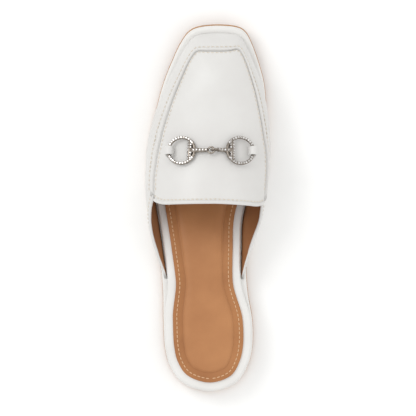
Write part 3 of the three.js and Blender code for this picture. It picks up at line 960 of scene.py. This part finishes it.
class MULE_OT_sole(bpy.types.Operator):
    """Makes the rubber outsole, the wrapped wedge and the wrapped footbed"""

    bl_idname = "mule.sole"
    bl_label = "Sole"

    def execute(self, context):
        """Builds the three layers, each with softened edges."""
        sole_rubber = shared("TPR outsole rubber", rubber, *SOLE_TAN)
        outsole = stack("outsole_moulded", [
            (1.2, 0),
            (0.5, 0.4),
            (0.2, 0.9),
            (0, 1.6),
            (0, OUTSOLE_THICKNESS - GAP - 0.5),
            (0.25, OUTSOLE_THICKNESS - 0.1),
        ], [sole_rubber])
        finish_piece(outsole, "shoe", "rubber_sole", "outsole")
        wedge = stack("wedge_wrapped", [
            (0.9, OUTSOLE_THICKNESS - 0.1),
            (0.45, OUTSOLE_THICKNESS + 0.3),
            (0.3, OUTSOLE_THICKNESS + 1),
            (mix(0.3, WEDGE_FLARE - 0.8, 0.5) - 0.15, lambda y: mix(OUTSOLE_THICKNESS, wedge_top(y), 0.5)),
            (WEDGE_FLARE - 0.8, above(wedge_top, -1.6)),
            (WEDGE_FLARE - 0.65, above(wedge_top, -0.9)),
            (WEDGE_FLARE - 0.3, above(wedge_top, -0.3)),
            (WEDGE_FLARE + 0.4, wedge_top),
        ], [wrap_leather()])
        finish_piece(wedge, "shoe", "wrap_leather", "wedge")
        steps, edge_round = 8, 1.5
        rolled = []
        for i in range(steps + 1):
            angle = math.pi * (i / steps - 0.5)
            inwards = edge_round * (1 - math.cos(angle))
            height = GAP + FOOTBED_THICKNESS * (0.5 + 0.5 * math.sin(angle))
            rolled.append((above(footbed_inset, inwards), above(wedge_top, height)))
        footbed = stack("footbed_wrapped", rolled, [wrap_leather()])
        finish_piece(footbed, "shoe", "wrap_leather", "footbed")
        return {"FINISHED"}


def insole_levels():
    """Rings of the sock: cut edge, flat rim, and the soft raised middle, as heights and ways in."""
    rows = [
        (0.05, 0.1),
        (INSOLE_THICKNESS - 0.3, 0),
        (INSOLE_THICKNESS - 0.05, 0.15),
        (INSOLE_THICKNESS, 0.5),
        (INSOLE_THICKNESS, PAD_MARGIN - 0.8),
        (INSOLE_THICKNESS - 0.5, PAD_MARGIN),
    ]
    steps, pad_slope = 8, 6
    for i in range(1, steps + 1):
        share = i / steps
        rise = INSOLE_THICKNESS + PAD_RISE * math.sin(share**0.7 * math.pi / 2)
        rows.append((rise, PAD_MARGIN + pad_slope * share))
    return [(footbed_inset, above(footbed_top, height), INSOLE_RIM + inwards) for height, inwards in rows]


class MULE_OT_insole(bpy.types.Operator):
    """Makes the padded tan insole"""

    bl_idname = "mule.insole"
    bl_label = "Insole"

    def execute(self, context):
        """Builds the sock with its raised middle."""
        groove = 5
        # The rim band and the groove's outer slope take the darker leather, which is painted shade
        insole = stack("insole_sock", insole_levels(), [shaded_rim_leather(), tan_leather()], second_from=groove)
        finish_piece(insole, "shoe", "sock_leather", "insole")
        return {"FINISHED"}


def insole_path(inwards, lift):
    """Path round the insole, in from its edge, with its upward directions."""
    count = 400
    height = above(footbed_top, INSOLE_THICKNESS + lift)
    points = ring_points(footbed_inset, height, count, INSOLE_RIM + inwards)
    path = [(place(p), Vector((0, 0, 1))) for p in points]
    return path + path[:1]


class MULE_OT_stitches(bpy.types.Operator):
    """Sews the seams, the throat, the quarters and the insole"""

    bl_idname = "mule.stitches"
    bl_label = "Stitches"

    def execute(self, context):
        """Lays each row of threads as one joined mesh."""
        sizes = context.scene.mule_sizes
        white = shared("white bonded thread", thread, *WHITE_THREAD)
        tan = shared("tan bonded thread", thread, *TAN_THREAD)
        on_apron = GAP + APRON_THICKNESS - THREAD_SINK
        rows = {
            "seam_stitches": (seam_path(SEAM_ROW, on_apron), white, "upper_leather"),
            "side_stitches": (seam_path(SIDE_ROW, -THREAD_SINK), white, "upper_leather"),
            "throat_stitches": (tab_path(EDGE_ROW, on_apron), white, "upper_leather"),
        }
        for side in SIDES:
            path = quarter_path(side, EDGE_ROW, -THREAD_SINK)
            rows[f"quarter_stitches_{side}"] = (path, white, "upper_leather")
        rows["insole_stitches"] = (insole_path(INSOLE_ROW, -THREAD_SINK), tan, "sock_leather")
        for name, (path, material, slot) in rows.items():
            points, faces = stitches(path, sizes.stitch_length, sizes.stitch_spacing, sizes.thread_width)
            finish_piece(make_object(name, points, faces, [material]), "shoe", slot)
        return {"FINISHED"}


def stone(radius):
    """Cut stone: short girdle, eight crown facets and a flat table, in millimetres."""
    angles = [math.pi / 4 * (j + 0.5) for j in range(8)]
    rings = []
    for height, share in ((-0.35, 0.9), (0.12, 1), (0.55, 0.52)):
        rings.append([Vector((share * math.cos(a), share * math.sin(a), height)) * radius for a in angles])
    return loft(rings)


def stones_at(spots, radius):
    """Stones at (place, outward direction) spots, in millimetres."""
    parts = []
    base, faces = stone(radius)
    for spot, out in spots:
        turn = Vector((0, 0, 1)).rotation_difference(out)
        parts.append(([spot + turn @ p for p in base], faces))
    return parts


def hoop(centre, radius, wire, count, sides, upright=False):
    """Ring of wire, lying flat or standing along the bar, in millimetres."""
    path = []
    for angle in np.linspace(0, 2 * math.pi, count, False):
        across, over = centre + radius * math.cos(angle), radius * math.sin(angle)
        path.append(Vector((across, 0, over) if upright else (across, over, 0)))
    return tube(path, wire / 2, sides, closed=True)


def bit_parts(side, reach):
    """Metal of one half of the bit, in its own millimetres: ring, post, bar and end eye."""
    eye_at = reach - EYE_RADIUS / 2
    bar_end = eye_at - EYE_RADIUS
    post = [(-HALF_POST, 0.36), (-HALF_POST * 0.9, 0.5), (HALF_POST * 0.9, 0.5), (HALF_POST, 0.36)]
    bar = [
        (POST_AT, BAR_START * 0.5),
        (POST_AT + 2.2, BAR_START * 0.5),
        (POST_AT + 2.6, BAR_START * 0.42),
        (mix(POST_AT, bar_end, 0.7), BAR_END * 0.5),
        (bar_end - 0.9, BAR_END * 0.44),
        (bar_end - 0.5, BAR_END * 0.56),
        (bar_end, BAR_END * 0.5),
        (bar_end + 0.3, BAR_END * 0.3),
    ]
    return [
        hoop(0, RING_RADIUS, WIRE, 64, 14),
        tube([Vector((POST_AT, y, 0)) for y, _ in post], [POST_WIDTH * thick for _, thick in post], 18),
        tube([Vector((x, 0, 0)) for x, _ in bar], [radius for _, radius in bar], 20),
        hoop(eye_at, EYE_RADIUS, EYE_WIRE, 32, 10, upright=side == "medial"),
    ]


def bit_stones(reach, radius):
    """Stones of one half: round the ring's arc, two rows down the post and one along the bar."""
    up = Vector((0, 0, 1))
    pitch = STONE_PITCH * radius
    spots = []
    count = int(2 * math.pi * RING_RADIUS / pitch)
    for i in range(count):
        angle = 2 * math.pi * i / count
        x, y = math.cos(angle), math.sin(angle)
        under_keeper = abs(angle - math.pi) < 0.6 * KEEPER_WIDTH / RING_RADIUS
        under_bar = x > 0.9
        if not under_keeper and not under_bar:
            spots.append((Vector((x * RING_RADIUS, y * RING_RADIUS, WIRE / 2 - 0.1)), up))
    half_row = HALF_POST - 1.4
    steps = int(2 * half_row / pitch)
    for row in (-1, 1):
        tilt = Vector((row * 0.85, 0, 1)).normalized()
        for i in range(steps + 1):
            y = mix(-half_row, half_row, i / steps)
            spots.append((Vector((POST_AT, y, 0)) + tilt * (POST_WIDTH / 2 - 0.08), tilt))
    first, last = POST_AT + 2.9, reach - EYE_RADIUS * 1.5 - 1.2
    steps = int((last - first) / pitch)
    for i in range(steps + 1):
        x = mix(first, last, i / max(steps, 1))
        thick = mix(BAR_START, BAR_END, (x - POST_AT) / (last - POST_AT)) / 2
        spots.append((Vector((x, 0, thick - 0.22)), up))
    return spots


class MULE_OT_bit(bpy.types.Operator):
    """Makes the snaffle bit with its stones"""

    bl_idname = "mule.bit"
    bl_label = "Snaffle bit"

    def execute(self, context):
        """Builds each half as a casting with set stones, on its own body."""
        radius = context.scene.mule_sizes.stone_radius * 1000
        metal = shared("nickel-plated zinc", nickel, *NICKEL)
        glass = shared("foil-backed glass", crystal, *STONE_GLASS)
        for side in SIDES:
            matrix, reach = bit_frame(side)
            points, faces = in_frame(matrix, bit_parts(side, reach))
            casting = make_object(f"bit_casting_{side}", points, faces, [metal])
            casting.data.set_sharp_from_angle(angle=math.radians(40))
            finish_piece(casting, f"ring_{side}", "bit_metal", f"bit_{side}")
            points, faces = in_frame(matrix, stones_at(bit_stones(reach, radius), radius))
            stones = make_object(f"bit_stones_{side}", points, faces, [glass], smooth=False)
            finish_piece(stones, f"ring_{side}", "bit_metal")
        return {"FINISHED"}


def keeper_parts():
    """Leather loop over the ring's outer arc, in the bit's own millimetres, with rounded edges."""
    sag = KEEPER_WIDTH**2 / (8 * RING_RADIUS)
    middle = (WIRE + sag) / 2 + 1.5 * GAP + KEEPER_LEATHER / 2
    centre = sag / 2 - RING_RADIUS
    foot = BIT_LIFT + WIRE / 2
    path = [(centre + middle, -foot * 1.1), (centre + middle, -foot * 0.5)]
    path += [(centre + middle * math.cos(a), middle * math.sin(a)) for a in np.linspace(0, math.pi, 13)]
    path += [(centre - middle, -foot * 0.5), (centre - middle, -foot * 1.9)]
    path = [Vector((x, 0, z)) for x, z in path]
    half, thick, corner = KEEPER_WIDTH / 2, KEEPER_LEATHER / 2, 0.4
    section = []
    for i, (right, top) in enumerate(((1, 1), (-1, 1), (-1, -1), (1, -1))):
        for turn in (0, 45, 90):
            angle = math.radians(90 * i + turn)
            section.append((right * (half - corner) + corner * math.cos(angle),
                            top * (thick - corner) + corner * math.sin(angle)))
    side_way = Vector((0, 1, 0))
    rings = []
    for i, spot in enumerate(path):
        before, after = path[max(i - 1, 0)], path[min(i + 1, len(path) - 1)]
        out = side_way.cross((after - before).normalized())
        rings.append([spot + across * side_way + up * out for across, up in section])
    return [loft(rings)]


class MULE_OT_keepers(bpy.types.Operator):
    """Makes the leather loops that hold the bit's rings"""

    bl_idname = "mule.keepers"
    bl_label = "Keepers"

    def execute(self, context):
        """Builds one loop on each side."""
        for side in SIDES:
            matrix, _ = bit_frame(side)
            points, faces = in_frame(matrix, keeper_parts())
            loop = make_object(f"keeper_loop_{side}", points, faces, [white_leather()])
            loop.data.set_sharp_from_angle(angle=math.radians(50))
            finish_piece(loop, "shoe", "upper_leather", f"keeper_{side}")
        return {"FINISHED"}


# Photograph's frame: straight above, the shoe's length this share of the picture's height
CAMERA_HEIGHT = 2.4
CAMERA_SENSOR = 36
SHOE_SHARE = 0.88

# Floor, light all round, and the soft lights with their places, sizes in metres and watts
FLOOR_HALF = 3
FLOOR_DROP = 0.0002
SURROUND = 0.95
LIGHTS = {"key": ((-0.9, 0.7, 1.5), 0.8, 8), "fill": ((1.1, -0.5, 1.3), 1.6, 3)}
LIT_SPOT = (0, 0, 0.02)


def add_light(name, spot, size, power):
    """Soft square light aimed at the shoe."""
    data = bpy.data.lights.new(name, "AREA")
    data.size = size
    data.energy = power
    light = bpy.data.objects.new(name, data)
    light.location = spot
    light.rotation_euler = (Vector(LIT_SPOT) - Vector(spot)).to_track_quat("-Z", "Y").to_euler()
    bpy.context.scene.collection.objects.link(light)


class MULE_OT_stage(bpy.types.Operator):
    """Sets the floor, the lights and the camera"""

    bl_idname = "mule.stage"
    bl_label = "Stage"

    def execute(self, context):
        """Lays the paper floor and hangs the camera straight above the shoe."""
        ways = ((-1, -1), (1, -1), (1, 1), (-1, 1))
        corners = [Vector((x * FLOOR_HALF, y * FLOOR_HALF, -FLOOR_DROP)) for x, y in ways]
        floor = make_object("paper_floor", corners, [(0, 1, 2, 3)], [paper("studio paper", *PAPER_WHITE)])
        world = bpy.data.worlds.new("soft studio")
        world.use_nodes = True
        back = world.node_tree.nodes["Background"]
        back.inputs["Color"].default_value = tuple(context.scene.mule_colours.backdrop) + (1,)
        back.inputs["Strength"].default_value = SURROUND
        context.scene.world = world
        for name, (spot, size, power) in LIGHTS.items():
            add_light(name, spot, size, power)
        context.scene.view_settings.view_transform = "Standard"
        data = bpy.data.cameras.new("camera")
        data.sensor_width = CAMERA_SENSOR
        span = LENGTH / 1000 / SHOE_SHARE
        data.lens = CAMERA_SENSOR * CAMERA_HEIGHT / span
        camera = bpy.data.objects.new("camera", data)
        camera.location = (0, 0, CAMERA_HEIGHT)
        context.scene.collection.objects.link(camera)
        context.scene.camera = camera
        return {"FINISHED"}


PIECES = (MULE_OT_sole, MULE_OT_insole, MULE_OT_upper, MULE_OT_apron, MULE_OT_keepers, MULE_OT_bit,
          MULE_OT_stitches, MULE_OT_stage)


class MULE_PT_panel(bpy.types.Panel):
    """Lists the mule's pieces"""

    bl_idname = "MULE_PT_panel"
    bl_label = "Leather mule"
    bl_space_type = "VIEW_3D"
    bl_region_type = "UI"
    bl_category = "Mule"

    def draw(self, context):
        """Shows a button for each piece."""
        for piece in PIECES:
            self.layout.operator(piece.bl_idname)


CLASSES = (MuleSizes, MuleColours) + PIECES + (MULE_PT_panel,)


def register():
    """Registers the classes and their settings."""
    for cls in CLASSES:
        bpy.utils.register_class(cls)
    bpy.types.Scene.mule_sizes = PointerProperty(type=MuleSizes)
    bpy.types.Scene.mule_colours = PointerProperty(type=MuleColours)


def unregister():
    """Removes the classes and their settings."""
    del bpy.types.Scene.mule_colours
    del bpy.types.Scene.mule_sizes
    for cls in reversed(CLASSES):
        bpy.utils.unregister_class(cls)


def main():
    """Makes every piece."""
    register()
    for piece in PIECES:
        group, name = piece.bl_idname.split(".")
        getattr(getattr(bpy.ops, group), name)()


if __name__ == "__main__":
    main()
